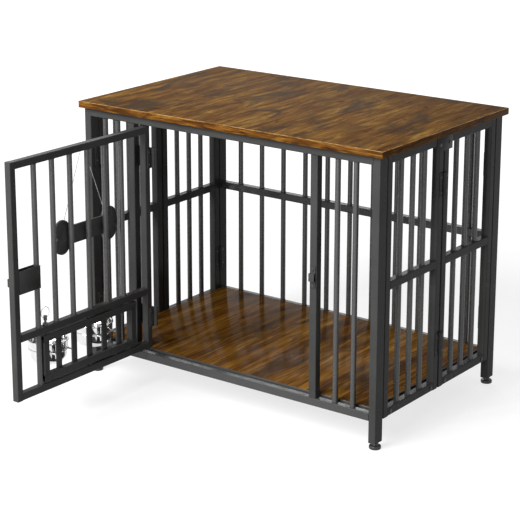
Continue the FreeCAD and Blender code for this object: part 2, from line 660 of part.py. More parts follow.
def make_lock_pin():
    sleeve = rod("Sleeve", "lockSleeve", "lockSleeveHigh", (lock_at, door_mid, door_mid_top))
    bore = rod("SleeveBore", "(lockPin + 2 * runGap)", "(3 * lockSleeveHigh)",
               (lock_at, door_mid, f"({door_mid_top} - lockSleeveHigh)"))
    door_node("lock_pin_sleeve", [cut("SleeveDrilled", sleeve, bore)])
    tip = f"({feeder_high} + lockLift)"
    head = f"({door_mid_top} + lockHeadGap)"
    hole_z = f"({head} + lockHeadHigh / 2)"
    shaft = rod("LockShaft", "lockPin", f"({head} - {tip})", (lock_at, door_mid, tip))
    knob = rod("LockHead", "lockHead", "lockHeadHigh", (lock_at, door_mid, head))
    eye = rod("LockEye", "(2 * pullHole)", "(2 * lockHead)", (f"({lock_at} - lockHead)", door_mid, hole_z), "x")
    door_node("lock_pin", [cut("LockPinDrilled", fuse("LockPinWhole", [shaft, knob]), eye)])
    ring = doc.addObject("Part::Torus", "PullRing")
    bind(ring, Radius1="pullRing", Radius2="pullWire")
    place(ring, (lock_at, door_mid, f"({hole_z} + pullRing)"), (1, 0, 0), "90")
    door_node("pull_ring", [ring])


sign_back = f"({door_mid} - barSize / 2 - signGap)"
sign_front = f"({sign_back} - signThick)"
string_y = f"({sign_front} - stringSize / 2 - stringGap)"
hook_z = f"({door_high_low} + hookRise)"


def make_sign():
    pieces = [box("Shank", ("(signAt - signHalf + lobeRadius)", sign_front, "(signHeight - shankHalf)"),
                  ("(signAt + signHalf - lobeRadius)", sign_back, "(signHeight + shankHalf)"))]
    holes = []
    for across in (-1, 1):
        x = f"(signAt + {across} * (signHalf - lobeRadius))"
        for up in (-1, 1):
            at = (x, sign_back, f"(signHeight + {up} * lobeSpread)")
            pieces.append(rod(f"Lobe{across + 1}{up + 1}", "(2 * lobeRadius)", "signThick", at, "-y"))
        at = (f"(signAt + {across} * (signHalf - stringInset))", f"({sign_back} + signThick)",
              "(signHeight + stringRise)")
        holes.append(rod(f"StringHole{across + 1}", "stringHole", "(3 * signThick)", at, "-y"))
    holes.append(rod("TagHole", "tagHole", "(3 * signThick)",
                     ("(signAt + signHalf - tagInset)", f"({sign_back} + signThick)", "signHeight"), "-y"))
    door_node("bone_sign", [cut("Sign", fuse("SignWhole", pieces), fuse("SignHoles", holes))])
    # hook: a peg on the outside of the top rail, with a turned-up end
    reach = rod("HookReach", "hookWire", "hookReach", ("signAt", door_out, hook_z), "-y")
    end_y = f"({door_out} - hookReach)"
    lip = rod("HookLip", "hookWire", "hookLip", ("signAt", end_y, hook_z))
    bend = doc.addObject("Part::Sphere", "HookBend")
    bind(bend, Radius="hookWire / 2")
    place(bend, ("signAt", end_y, hook_z))
    door_node("sign_hook", [fuse("Hook", [reach, lip, bend])])


def make_string():
    """The string runs from a knot in one hole over the hook to a knot in the other."""
    radius = number_of("(hookWire + stringSize) / 2")
    half = number_of("signHalf - stringInset")
    drop = number_of(f"{hook_z} - signHeight - stringRise")
    middle = FreeCAD.Vector(number_of("signAt"), number_of(string_y), number_of(hook_z))
    lean = math.atan2(-drop, half) + math.acos(radius / math.hypot(half, drop))
    knots = [middle + FreeCAD.Vector(side * half, 0, -drop) for side in (1, -1)]
    aside, above = radius * math.cos(lean), radius * math.sin(lean)
    touch = [middle + FreeCAD.Vector(side * aside, 0, above) for side in (1, -1)]
    thick = number_of("stringSize") / 2
    runs = [Part.makeCylinder(thick, (top - knot).Length, knot, top - knot) for knot, top in zip(knots, touch)]
    section = Part.Face(Part.Wire([Part.Circle(touch[0], touch[0] - knots[0], thick).toShape()]))
    over = math.pi - 2 * lean
    bend = section.revolve(middle, FreeCAD.Vector(0, -1, 0), math.degrees(over))
    line = runs[0].fuse([bend, runs[1]])
    length = 2 * (touch[0] - knots[0]).Length + radius * over
    print("string length", round(length, 2), "bend radius", radius,
          "volume share", round(line.Volume / (math.pi * thick ** 2 * length), 4))
    across = FreeCAD.Vector(0, 1, 0)
    knot_size = number_of("knotSize")
    behind = across * knot_size / 4
    beads = [Part.makeCylinder(knot_size / 2, knot_size / 2, knot - behind, across) for knot in knots]
    piece = doc.addObject("Part::Feature", "SignString")
    piece.Shape = line.fuse(beads)
    door_node("sign_string", [piece])


make_top()
make_floor()
make_posts()
make_rails()
make_front()
make_rear_bars()
make_panels()
make_panel_hinges()
frame_screws = make_seam_brackets()
make_feet()
make_door_frame()
make_door_hinges()
frame_screws += make_latch()
make_feeder()
make_bowls()
make_lock_pin()
make_sign()
make_string()
name_node(group("FrameScrews", frame_screws), "frame_screws")

doc.recompute()
for piece in doc.Objects:
    if "Invalid" in piece.State or "Error" in piece.State:
        raise RuntimeError(f"{piece.Label} did not build: {piece.State}")
os.makedirs("parts", exist_ok=True)
for node in nodes:
    if node.Shape.isNull() or not node.Shape.isValid():
        raise RuntimeError(f"{node.Label} has no sound shape")
    node.Shape.exportStep(os.path.join("parts", node.Label + ".step"))
print(len(nodes), "nodes written")
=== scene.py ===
import json
import math
import random
import bmesh
import bpy
from mathutils import Matrix, Vector


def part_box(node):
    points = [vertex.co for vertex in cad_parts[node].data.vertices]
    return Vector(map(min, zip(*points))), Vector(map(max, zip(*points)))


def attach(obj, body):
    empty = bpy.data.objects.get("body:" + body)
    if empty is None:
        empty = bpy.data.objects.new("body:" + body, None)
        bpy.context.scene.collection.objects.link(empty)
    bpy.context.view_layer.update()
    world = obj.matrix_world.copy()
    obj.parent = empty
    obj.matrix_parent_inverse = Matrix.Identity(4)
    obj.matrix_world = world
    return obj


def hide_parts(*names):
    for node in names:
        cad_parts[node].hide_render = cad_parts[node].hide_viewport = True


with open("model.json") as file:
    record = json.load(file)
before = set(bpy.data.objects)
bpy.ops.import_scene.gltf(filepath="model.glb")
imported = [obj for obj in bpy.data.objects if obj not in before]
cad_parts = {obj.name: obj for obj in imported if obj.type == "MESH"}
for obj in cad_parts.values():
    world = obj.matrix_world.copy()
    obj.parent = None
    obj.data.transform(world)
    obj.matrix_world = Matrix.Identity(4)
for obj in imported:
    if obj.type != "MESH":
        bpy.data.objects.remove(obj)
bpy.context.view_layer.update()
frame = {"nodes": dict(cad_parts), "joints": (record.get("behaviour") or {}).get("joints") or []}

mm = 0.001
mergeGap = 1e-6
nodes = frame["nodes"]
luck = random.Random(7)
print("frame loaded:", len(nodes), "nodes")


# hand tools: select, name, edit, modify, join and copy
def objectMode():
    bpy.ops.object.mode_set(mode="OBJECT")


def deselectAll():
    if bpy.context.object and bpy.context.object.mode != "OBJECT":
        objectMode()
    bpy.ops.object.select_all(action="DESELECT")


def pick(*pieces):
    deselectAll()
    for piece in pieces:
        piece.select_set(True)
    bpy.context.view_layer.objects.active = pieces[0]


def named(name):
    piece = bpy.context.object
    piece.name = name
    piece.data.name = name
    return piece


def applyPlace(piece):
    pick(piece)
    bpy.ops.object.transform_apply(location=True, rotation=True, scale=True)
    return piece


def editAll(piece, kind="VERT"):
    pick(piece)
    bpy.ops.object.mode_set(mode="EDIT")
    bpy.ops.mesh.select_mode(type=kind)
    bpy.ops.mesh.select_all(action="SELECT")


# only the edges both of whose ends measure more than the limit
def editEdges(piece, measure, limit):
    editAll(piece, "EDGE")
    bpy.ops.mesh.select_all(action="DESELECT")
    objectMode()
    points = piece.data.vertices
    for edge in piece.data.edges:
        edge.select = all(measure(points[end].co) > limit for end in edge.vertices)
    bpy.ops.object.mode_set(mode="EDIT")


def smooth(piece, degrees):
    pick(piece)
    bpy.ops.object.shade_smooth_by_angle(angle=math.radians(degrees))
    return piece


def modify(piece, kind, **facts):
    pick(piece)
    modifier = piece.modifiers.new(kind.title(), kind)
    for fact, value in facts.items():
        setattr(modifier, fact, value)
    bpy.ops.object.modifier_apply(modifier=modifier.name)


def join(name, pieces):
    pick(*pieces)
    bpy.ops.object.join()
    return named(name)


def copyOf(piece, place):
    twin = piece.copy()
    twin.data = piece.data.copy()
    bpy.context.scene.collection.objects.link(twin)
    twin.data.transform(place)
    return twin


def moved(x, y, z):
    return Matrix.Translation((x, y, z))


def drop(piece):
    bpy.data.objects.remove(piece)


def paint(piece, material):
    if not piece.material_slots:
        piece.data.materials.append(material)
    for slot in piece.material_slots:
        slot.material = material


def dress(piece, body, material=None, replaced=()):
    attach(piece, body)
    if material:
        paint(piece, material)
    if replaced:
        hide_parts(*replaced)


# each solid of a node, as the lowest and highest corner of its box
def solidBoxes(name):
    shape = bmesh.new()
    shape.from_mesh(nodes[name].data)
    bmesh.ops.remove_doubles(shape, verts=shape.verts, dist=mergeGap)
    left, boxes = set(shape.verts), []
    while left:
        reach = [left.pop()]
        found = list(reach)
        while reach:
            for edge in reach.pop().link_edges:
                for point in edge.verts:
                    if point in left:
                        left.remove(point)
                        reach.append(point)
                        found.append(point)
        low, high = [[limit(point.co[axis] for point in found) for axis in range(3)] for limit in (min, max)]
        boxes.append((low, high))
    shape.free()
    return sorted(boxes)


def middle(low, high):
    return [(a + b) / 2 for a, b in zip(low, high)]


# the door's own frame: X from the hinge axis to the latch, the outside at -Y, as if shut
swing = next(joint for joint in frame["joints"] if joint["name"] == "door_swing")
hingePlace = moved(*swing["pos_m"][:2], 0)
doorTurn = Matrix.Rotation(math.radians(swing["range_deg"][0]), 4, "Z")
doorFrame = hingePlace @ doorTurn
panels = [f"{side}_{end}_panel" for side in ("left", "right") for end in ("front", "rear")]


view = {
    "place": (2.1992, -3.0964, 1.4631), "azimuth": 36.454, "elevation": 14.983, "roll": 0.087,
    "lens": 120.5, "shiftY": -0.1346, "clipEnd": 60,
}


def makeCamera():
    bpy.ops.object.camera_add(location=view["place"])
    camera = bpy.context.object
    camera.name = "photoCamera"
    turn, tilt = math.radians(view["azimuth"]), math.radians(view["elevation"])
    ahead = Vector((-math.sin(turn) * math.cos(tilt), math.cos(turn) * math.cos(tilt), -math.sin(tilt)))
    roll = Matrix.Rotation(math.radians(view["roll"]), 4, "Z")
    camera.rotation_euler = (ahead.to_track_quat("-Z", "Y").to_matrix().to_4x4() @ roll).to_euler()
    camera.data.lens = view["lens"]
    camera.data.shift_y = view["shiftY"]
    camera.data.clip_end = view["clipEnd"]
    bpy.context.scene.camera = camera


makeCamera()
print("camera placed")


# the string runs from the sign's two holes over the hook on the door's top rail, in the door's own frame
string = {
    "middle": 200 * mm, "holeSide": 64 * mm, "knotHigh": 441 * mm, "hookHigh": 597 * mm,
    "out": -25.9 * mm, "thick": 1.5 * mm, "length": 342.6 * mm,
    "overHook": 2.75 * mm, "overSide": 1.9 * mm, "nearHook": 9 * mm,
    "pointRadius": 0.001,  # small, because a curve's box grows by it, and the bevel makes up for it
}


def makeString():
    side, fall = string["holeSide"], string["hookHigh"] - string["knotHigh"]
    reach = math.hypot(side, fall)
    nearX, nearZ = [part * string["nearHook"] / reach for part in (side, -fall)]
    overX, overZ = string["overSide"], string["overHook"]
    half = [(-side, -fall), (-nearX - overX, nearZ + overZ), (-overX, overZ)]
    route = half + [(-x, z) for x, z in reversed(half)]
    across, out, high = string["middle"], string["out"], string["hookHigh"]
    points = [doorFrame @ Vector((across + x, out, high + z)) for x, z in route]
    curve = bpy.data.curves.new("signString", "CURVE")
    curve.dimensions = "3D"
    line = curve.splines.new("NURBS")
    line.points.add(len(points) - 1)
    for spot, point in zip(line.points, points):
        spot.co = (*point, 1)
        spot.radius = string["pointRadius"]
    line.order_u = 3
    line.use_endpoint_u = True
    line.resolution_u = 12
    curve.bevel_depth = string["thick"] / 2 / string["pointRadius"]
    curve.bevel_resolution = 3
    piece = bpy.data.objects.new("signString", curve)
    bpy.context.scene.collection.objects.link(piece)
    return piece, points


# a knot is two crossed loops and a short tail
knot = {
    "loop": 1.3 * mm, "wire": 0.75 * mm, "turns": 18, "sides": 8, "shift": (0.4 * mm, 0, 0.7 * mm),
    "tilt": 20, "twist": 25, "spin": 80,
    "tailLong": 5 * mm, "tailEnd": 0.5 * mm, "tailTop": 0.75 * mm, "tailSides": 10, "tailDrop": 3.5 * mm,
    "tailLean": 14,
}


def makeKnots(ends):
    pieces = []
    for number, end in enumerate(ends):
        for way in (1, -1):
            angles = (90 - knot["tilt"] * way, knot["twist"] * way, knot["spin"] * number)
            bpy.ops.mesh.primitive_torus_add(
                location=end + Vector(knot["shift"]) * way, rotation=tuple(map(math.radians, angles)),
                major_radius=knot["loop"], minor_radius=knot["wire"],
                major_segments=knot["turns"], minor_segments=knot["sides"])
            pieces.append(applyPlace(named("knotLoop")))
        lean = knot["tailLean"] * (1 - 2 * number)
        bpy.ops.mesh.primitive_cone_add(
            vertices=knot["tailSides"], radius1=knot["tailEnd"], radius2=knot["tailTop"],
            depth=knot["tailLong"], location=end - Vector((0, 0, knot["tailDrop"])),
            rotation=(0, math.radians(lean), 0))
        pieces.append(applyPlace(named("knotTail")))
    return smooth(join("stringKnots", pieces), 60)


# tools for the finishes
def newMaterial(name, **sockets):
    material = bpy.data.materials.new(name)
    material.use_nodes = True
    shader = material.node_tree.nodes["Principled BSDF"]
    for socket, value in sockets.items():
        shader.inputs[socket.replace("_", " ")].default_value = value
    return material, material.node_tree, shader


def addNode(tree, kind, inputs=None, **facts):
    node = tree.nodes.new("ShaderNode" + kind)
    for fact, value in facts.items():
        setattr(node, fact, value)
    for socket, value in (inputs or {}).items():
        if isinstance(value, bpy.types.NodeSocket):
            tree.links.new(value, node.inputs[socket])
        else:
            node.inputs[socket].default_value = value
    return node


def objectPlace(tree):
    return addNode(tree, "TexCoord").outputs["Object"]


def mapped(tree, scale=(1, 1, 1), location=(0, 0, 0), rotation=(0, 0, 0), place=None):
    if place is None:
        place = objectPlace(tree)
    inputs = {"Vector": place, "Scale": scale, "Location": location, "Rotation": rotation}
    return addNode(tree, "Mapping", inputs).outputs["Vector"]


def noise(tree, place, scale, detail=3, roughness=0.5, twist=0):
    inputs = {"Vector": place, "Scale": scale, "Detail": detail, "Roughness": roughness, "Distortion": twist}
    return addNode(tree, "TexNoise", inputs).outputs["Fac"]


def ramp(tree, factor, stops):
    node = addNode(tree, "ValToRGB", {"Fac": factor})
    bar = node.color_ramp
    while len(bar.elements) < len(stops):
        bar.elements.new(0.5)
    for element, (at, tone) in zip(bar.elements, stops):
        element.position = at
        element.color = (*tone, 1) if isinstance(tone, tuple) else (tone, tone, tone, 1)
    return node.outputs["Color"]


def blendTones(tree, factor, first, second, way="MIX"):
    node = addNode(tree, "Mix", data_type="RGBA", blend_type=way)
    for socket, value in ((0, factor), (6, first), (7, second)):
        if isinstance(value, bpy.types.NodeSocket):
            tree.links.new(value, node.inputs[socket])
        elif socket:
            node.inputs[socket].default_value = (*value, 1)
        else:
            node.inputs[socket].default_value = value
    return node.outputs[2]


def spread(tree, factor, low, high):
    inputs = {"Value": factor, "From Min": 0.3, "From Max": 0.7, "To Min": low, "To Max": high}
    return addNode(tree, "MapRange", inputs).outputs["Result"]  # most of a noise lies from 0.3 to 0.7


def scaled(tone, share):
    return tuple(part * share for part in tone)


def setSurface(tree, shader, look, tone, height, rough=None):
    tree.links.new(tone, shader.inputs["Base Color"])
    if rough is not None:
        tree.links.new(rough, shader.inputs["Roughness"])
    bump = addNode(tree, "Bump", {"Height": height, "Distance": look["depth"], "Strength": look["strength"]})
    tree.links.new(bump.outputs["Normal"], shader.inputs["Normal"])


# a noise in a look is its scale, detail, roughness and twist, as far as they are given
coatLook = {
    "dark": (0.040, 0.041, 0.040), "light": (0.060, 0.061, 0.059), "rough": (0.18, 0.28), "level": 0.055,
    "cloud": (9, 4, 0.6), "smudge": (60, 3), "peel": (900, 2), "depth": 0.05 * mm, "strength": 0.35,
}
slatLook = dict(coatLook, rough=(0.26, 0.38))
railLook = dict(coatLook, rough=(0.14, 0.22), level=0.32)
barLook = dict(coatLook, rough=(0.23, 0.30), level=0.50)


def powderCoat(name, look):
    material, tree, shader = newMaterial(name, Specular_IOR_Level=look["level"])
    place = mapped(tree)
    cloud = spread(tree, noise(tree, place, *look["cloud"]), 0.1, 0.9)
    tone = blendTones(tree, cloud, look["dark"], look["light"])
    rough = spread(tree, noise(tree, place, *look["smudge"]), *look["rough"])
    setSurface(tree, shader, look, tone, noise(tree, place, *look["peel"]), rough)
    return material


topLook = {
    "deep": (0.032, 0.013, 0.005), "brown": (0.079, 0.032, 0.007), "amber": (0.142, 0.067, 0.013),
    "gold": (0.297, 0.167, 0.038), "smoke": (0.036, 0.023, 0.015), "rough": (0.46, 0.58), "level": 0.006,
    "shift": (3.1, 1.7, 0), "wave": (4, 1.8, 4), "bend": 0.007, "stretch": 1.0,
    "depth": 0.06 * mm, "strength": 0.4,
}
floorLook = dict(
    topLook, deep=(0.028, 0.009, 0.002), brown=(0.088, 0.033, 0.004), amber=(0.163, 0.072, 0.010),
    gold=(0.334, 0.176, 0.037), smoke=(0.032, 0.018, 0.011), rough=(0.12, 0.19), level=0.004,
    shift=(7.4, 5.2, 0), stretch=0.55)

# the grain's layers: scale across and along, offset, then detail, roughness and twist of the noise
grainLayers = {
    "streaks": (44, 5.5, 0, 8, 0.72, 0.4), "lines": (330, 17, 4, 4, 0.65, 0.2),
    "lights": (70, 7, 21, 6, 0.68, 0.5), "clouds": (13, 6, 9, 6, 0.66, 0.8),
    "knots": (22, 11, 14, 4, 0.6, 0.9),
}


# the grain runs front to back: streaks, fine lines, golden lights, smoky patches and a few dark knots
def laminate(name, look):
    material, tree, shader = newMaterial(name, Specular_IOR_Level=look["level"])
    x, y, z = look["shift"]
    wave = noise(tree, mapped(tree, look["wave"], look["shift"]), 1, 3, 0.55)
    bend = addNode(tree, "CombineXYZ", {"X": spread(tree, wave, -look["bend"], look["bend"])})
    inputs = {0: objectPlace(tree), 1: bend.outputs["Vector"]}
    wavy = addNode(tree, "VectorMath", inputs, operation="ADD").outputs["Vector"]

    def grain(across, along, offset, detail, roughness, twist):
        scale = (across, along * look["stretch"], across)
        place = mapped(tree, scale, (x + offset, y - offset, z), place=wavy)
        return noise(tree, place, 1, detail, roughness, twist)

    streaks, lines, lights, clouds, knots = [grain(*layer) for layer in grainLayers.values()]
    stops = [(0.30, look["deep"]), (0.43, look["brown"]), (0.57, look["amber"]), (0.72, look["gold"])]
    tone = ramp(tree, streaks, stops)
    tone = blendTones(tree, ramp(tree, lights, [(0.53, 0.0), (0.70, 0.70)]), tone, look["gold"])
    fine = ramp(tree, lines, [(0.34, 0.50), (0.5, 1.0), (0.66, 1.55)])
    tone = blendTones(tree, 0.85, tone, fine, "MULTIPLY")
    tone = blendTones(tree, ramp(tree, clouds, [(0.50, 0.0), (0.64, 0.85)]), tone, look["smoke"])
    tone = blendTones(tree, ramp(tree, knots, [(0.60, 0.0), (0.71, 0.85)]), tone, look["deep"])
    setSurface(tree, shader, look, tone, lines, spread(tree, lines, *look["rough"]))
    return material


edgeLook = {
    "dark": (0.038, 0.012, 0.003), "orange": (0.141, 0.052, 0.007), "gold": (0.289, 0.144, 0.026),
    "rough": (0.45, 0.60), "level": 0.05, "depth": 0.08 * mm, "strength": 0.4,
}


# share dims every tone of the band; below 1 it gives a shaded copy, which is painted shade
def edgeBand(name, alongX, share=1.0):
    material, tree, shader = newMaterial(name, Specular_IOR_Level=edgeLook["level"])

    def flow(along, across):
        return (along, across, across) if alongX else (across, along, across)

    streaks = noise(tree, mapped(tree, flow(22, 380), (2, 5, 1)), 1, 6, 0.65, 0.4)
    patches = noise(tree, mapped(tree, flow(12, 80), (4, 1, 6)), 1, 4, 0.6, 0.8)
    dark, orange, gold = [scaled(edgeLook[key], share) for key in ("dark", "orange", "gold")]
    tone = ramp(tree, streaks, [(0.36, dark), (0.50, orange), (0.66, gold)])
    tone = blendTones(tree, ramp(tree, patches, [(0.46, 0.0), (0.62, 0.80)]), tone, dark)
    setSurface(tree, shader, edgeLook, tone, streaks, spread(tree, streaks, *edgeLook["rough"]))
    return material


# painted highlight: the round along the top of the table's edges gets a lighter tone, broken up by a speckle,
# where the bevel would catch the light
edgeHighlightLook = {
    "highlightDim": (0.200, 0.100, 0.024), "highlightBright": (0.480, 0.300, 0.130), "rough": 0.55, "level": 0.1,
    "highlightSpeckle": (38, 5, 0.7), "depth": 0.1 * mm, "strength": 0.3,
}


def paintedHighlightEdge(name):
    material, tree, shader = newMaterial(name, Roughness=edgeHighlightLook["rough"],
                                         Specular_IOR_Level=edgeHighlightLook["level"])
    highlightSpeckle = noise(tree, mapped(tree), *edgeHighlightLook["highlightSpeckle"])
    tone = ramp(tree, highlightSpeckle, [(0.42, edgeHighlightLook["highlightDim"]), (0.56, edgeHighlightLook["highlightBright"])])
    setSurface(tree, shader, edgeHighlightLook, tone, highlightSpeckle)
    return material


bowlLook = {
    "tone": (0.80, 0.80, 0.80), "dull": 0.86, "rough": (0.06, 0.14), "streak": (1, 1, 60),
    "brush": (30, 4, 0.6), "smudge": (55, 3), "depth": 0.01 * mm, "strength": 0.2,
}
wireLook = dict(bowlLook, tone=(0.78, 0.79, 0.80), rough=(0.12, 0.20), streak=(40, 40, 40))


def polished(name, look):
    material, tree, shader = newMaterial(name, Metallic=1)
    brushed = noise(tree, mapped(tree, look["streak"]), *look["brush"])
    smudge = noise(tree, mapped(tree), *look["smudge"])
    tone = ramp(tree, smudge, [(0.3, scaled(look["tone"], look["dull"])), (0.7, look["tone"])])
    setSurface(tree, shader, look, tone, brushed, spread(tree, brushed, *look["rough"]))
    return material


footLook = {
    "dark": (0.020, 0.020, 0.021), "light": (0.034, 0.034, 0.035), "rough": (0.30, 0.45), "level": 0.4,
    "cloud": (70, 3), "smudge": (120, 2), "grain": (600, 2), "depth": 0.06 * mm, "strength": 0.4,
}
signLook = dict(
    footLook, dark=(0.022, 0.022, 0.021), light=(0.034, 0.033, 0.031), rough=(0.45, 0.60),
    grain=(300, 2), depth=0.1 * mm)
screwLook = dict(
    footLook, dark=(0.030, 0.031, 0.032), light=(0.075, 0.076, 0.078), rough=(0.28, 0.40),
    grain=(900, 2), depth=0.03 * mm)


def moulded(name, look):
    material, tree, shader = newMaterial(name, Specular_IOR_Level=look["level"])
    place = mapped(tree)
    tone = ramp(tree, noise(tree, place, *look["cloud"]), [(0.3, look["dark"]), (0.7, look["light"])])
    rough = spread(tree, noise(tree, place, *look["smudge"]), *look["rough"])
    setSurface(tree, shader, look, tone, noise(tree, place, *look["grain"]), rough)
    return material


twineLook = {
    "shade": (0.42, 0.41, 0.38), "lit": (0.78, 0.77, 0.74), "rough": 0.85, "level": 0.2,
    "strands": (1800, 2), "slant": 40, "depth": 0.1 * mm, "strength": 0.6,
}


def twine(name):
    material, tree, shader = newMaterial(name, Roughness=twineLook["rough"],
                                         Specular_IOR_Level=twineLook["level"])
    place = mapped(tree, rotation=(0, math.radians(twineLook["slant"]), 0))
    strands = noise(tree, place, *twineLook["strands"])
    tone = ramp(tree, strands, [(0.35, twineLook["shade"]), (0.65, twineLook["lit"])])
    setSurface(tree, shader, twineLook, tone, strands)
    return material


steel = powderCoat("blackPowderCoat", coatLook)
slatSteel = powderCoat("slatPowderCoat", slatLook)
railSteel = powderCoat("railPowderCoat", railLook)
barSteel = powderCoat("barPowderCoat", barLook)
topWood = laminate("topLaminate", topLook)
floorWood = laminate("floorLaminate", floorLook)
longBand = edgeBand("longEdgeBand", True)
# the side edges take the band at 0.9 of its brightness: painted shade, as they face away from the key light
shadedSideBand = edgeBand("shadedShortEdgeBand", False, 0.9)
# the painted highlight on the round along the table top's edges
highlightBand = paintedHighlightEdge("paintedHighlightEdge")
bowlSteel = polished("bowlSteel", bowlLook)
brightWire = polished("brightWire", wireLook)
footPlastic = moulded("footPlastic", footLook)
signPaint = moulded("signPaint", signLook)
screwSteel = moulded("screwSteel", screwLook)
paleTwine = twine("paleTwine")
print("finishes mixed")

slotFinish = {
    "steel": steel, "wood_top": topWood, "wood_floor": floorWood, "bowl_steel": bowlSteel,
    "bright_wire": brightWire, "foot_rubber": footPlastic, "sign_board": signPaint, "twine": paleTwine,
    "screw_steel": screwSteel,
}
for name, node in nodes.items():
    paint(node, slotFinish[node.data.materials[0].name.split(".")[0]])
    if name in ("feeder_frame", "feeder_slats"):
        paint(node, slatSteel)
    elif name in ("front_bottom_rail", "rear_bottom_rail", "rear_middle_rail", "floor_ledges"):
        paint(node, railSteel)
    elif name.endswith("_bars"):
        paint(node, barSteel)
print("frame's own pieces painted")

stringPiece, stringRoute = makeString()
stringKnots = makeKnots([stringRoute[0], stringRoute[-1]])
dress(stringKnots, "sign", paleTwine)
dress(stringPiece, "sign", paleTwine, ["sign_string"])
print("string strung")


# how far up a face looks tells the flats from the edges, and from both the round that takes the painted
# highlight on the table top
board = {"round": 1.2 * mm, "steps": 3, "flat": 0.9, "highlightRoundLow": 0.3, "highlightRoundHigh": 0.98}


# 0 is the flats, 1 the front and rear edges, 2 the side edges, which on the table top get the band painted
# darker as shade, and 3 the round along the top of the edges, which on the table top is painted lighter as a
# highlight
def boardFinish(normal):
    across, along, up = (abs(part) for part in normal)
    if board["highlightRoundLow"] < normal.z < board["highlightRoundHigh"]:
        return 3
    if up > board["flat"]:
        return 0
    return 1 if along > across else 2


def makeBoard(name, node, finishes):
    low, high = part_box(node)
    bpy.ops.mesh.primitive_cube_add(size=1, location=(low + high) / 2, scale=high - low)
    piece = applyPlace(named(name))
    editAll(piece, "EDGE")
    bpy.ops.mesh.bevel(offset=board["round"], segments=board["steps"])
    objectMode()
    for material in finishes:
        piece.data.materials.append(material)
    for face in piece.data.polygons:
        face.material_index = boardFinish(face.normal)
    dress(smooth(piece, 40), "frame", replaced=[node])


makeBoard("tableTop", "table_top", (topWood, longBand, shadedSideBand, highlightBand))
makeBoard("floorBoard", "floor_board", (floorWood, railSteel, railSteel, railSteel))
print("boards laid")


# bowls and feet are turned: a circle is drawn out along a profile of (radius, height) in mm
def turnProfile(name, facts):
    start, height = facts["profile"][0]
    bpy.ops.mesh.primitive_circle_add(vertices=facts["sides"], radius=start * mm, fill_type="TRIFAN",
                                      location=(0, 0, height * mm))
    piece = applyPlace(named(name))
    editEdges(piece, lambda point: point.xy.length, 0.9 * start * mm)
    for radius, level in facts["profile"][1:]:
        lift = (0, 0, (level - height) * mm)
        bpy.ops.mesh.extrude_edges_move(TRANSFORM_OT_translate={"value": lift})
        bpy.ops.transform.resize(value=(radius / start, radius / start, 1),
                                 center_override=(0, 0, level * mm))
        start, height = radius, level
    bpy.ops.mesh.select_mode(type="VERT")
    bpy.ops.mesh.merge(type="CENTER")
    bpy.ops.mesh.select_all(action="SELECT")
    bpy.ops.mesh.remove_doubles(threshold=mergeGap)
    bpy.ops.mesh.normals_make_consistent(inside=False)
    return smooth(piece, 50)


def standCopy(pattern, name, node, level):
    low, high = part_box(node)
    centre = (low + high) / 2
    piece = copyOf(pattern, moved(centre.x, centre.y, level))
    piece.name = piece.data.name = name
    return piece


bowl = {
    "profile": [
        (2, 1.2), (26, 1.2), (29, 0.3), (31, 0.3), (33, 1.8), (36.2, 6), (38.4, 9.5),  # underside
        (39.6, 12.5), (40, 16), (40, 29.5), (40.4, 31), (42.2, 32.2), (43, 33.8), (43, 46.6),  # outer wall
        (43.5, 47.8), (45, 48.2), (46, 49.2), (46, 50.2), (45.2, 51), (43.6, 50.8),  # rolled rim
        (42.4, 49.8), (42, 48.4), (42, 34.2), (41.2, 33.1), (39.5, 32.1), (39, 30.4), (39, 16),  # inner wall
        (38.4, 12.9), (36, 8.9), (32, 4.4), (28, 2.5), (2, 2.2)],  # inside bottom
    "sides": 48,
    "pieces": {
        "bowlHingeSide": ("bowl_hinge_side", "bowl_a"),
        "bowlLatchSide": ("bowl_latch_side", "bowl_b"),
    },
}
pattern = turnProfile("bowlPattern", bowl)
for name, (node, body) in bowl["pieces"].items():
    piece = standCopy(pattern, name, node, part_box(node)[0].z)
    dress(piece, body, bowlSteel, [node])
drop(pattern)
print("bowls turned")

foot = {
    "profile": [
        (1, 0), (11, 0), (12.2, 0.4), (12.9, 1.4), (13, 2.6), (13, 5.4), (12.8, 6.6), (11.9, 7.6),  # pad
        (10.2, 8.0), (8.2, 8.1), (7.4, 8.6), (7, 9.6), (7, 12.6), (6.6, 13.2), (6.6, 13.9), (7, 14.7),  # neck
        (4, 14.7), (4, 32.4), (3.6, 32.7), (1, 32.7)],  # stud
    "sides": 32,
}
pattern = turnProfile("footPattern", foot)
for end in ("front", "rear"):
    for side in ("left", "right"):
        node = f"{end}_{side}_foot"
        piece = standCopy(pattern, f"{end}{side.title()}Foot", node, 0)
        dress(piece, f"foot_{end}_{side}", footPlastic, [node])
drop(pattern)
print("feet turned")


# plates and flat bars get the small round that their coating gives every edge
def softened(name, node, body, slot, material, width):
    twin = copyOf(nodes[node], Matrix.Identity(4))
    twin.parent = None
    for key in list(twin.keys()):
        del twin[key]
    twin.name = twin.data.name = name
    editAll(twin)
    bpy.ops.mesh.remove_doubles(threshold=mergeGap)
    bpy.ops.mesh.customdata_custom_splitnormals_clear()
    bpy.ops.mesh.dissolve_limited(angle_limit=math.radians(1))
    objectMode()
    modify(twin, "BEVEL", width=width, segments=2, limit_method="ANGLE", angle_limit=math.radians(50))
    dress(smooth(twin, 40), body, material, [node])


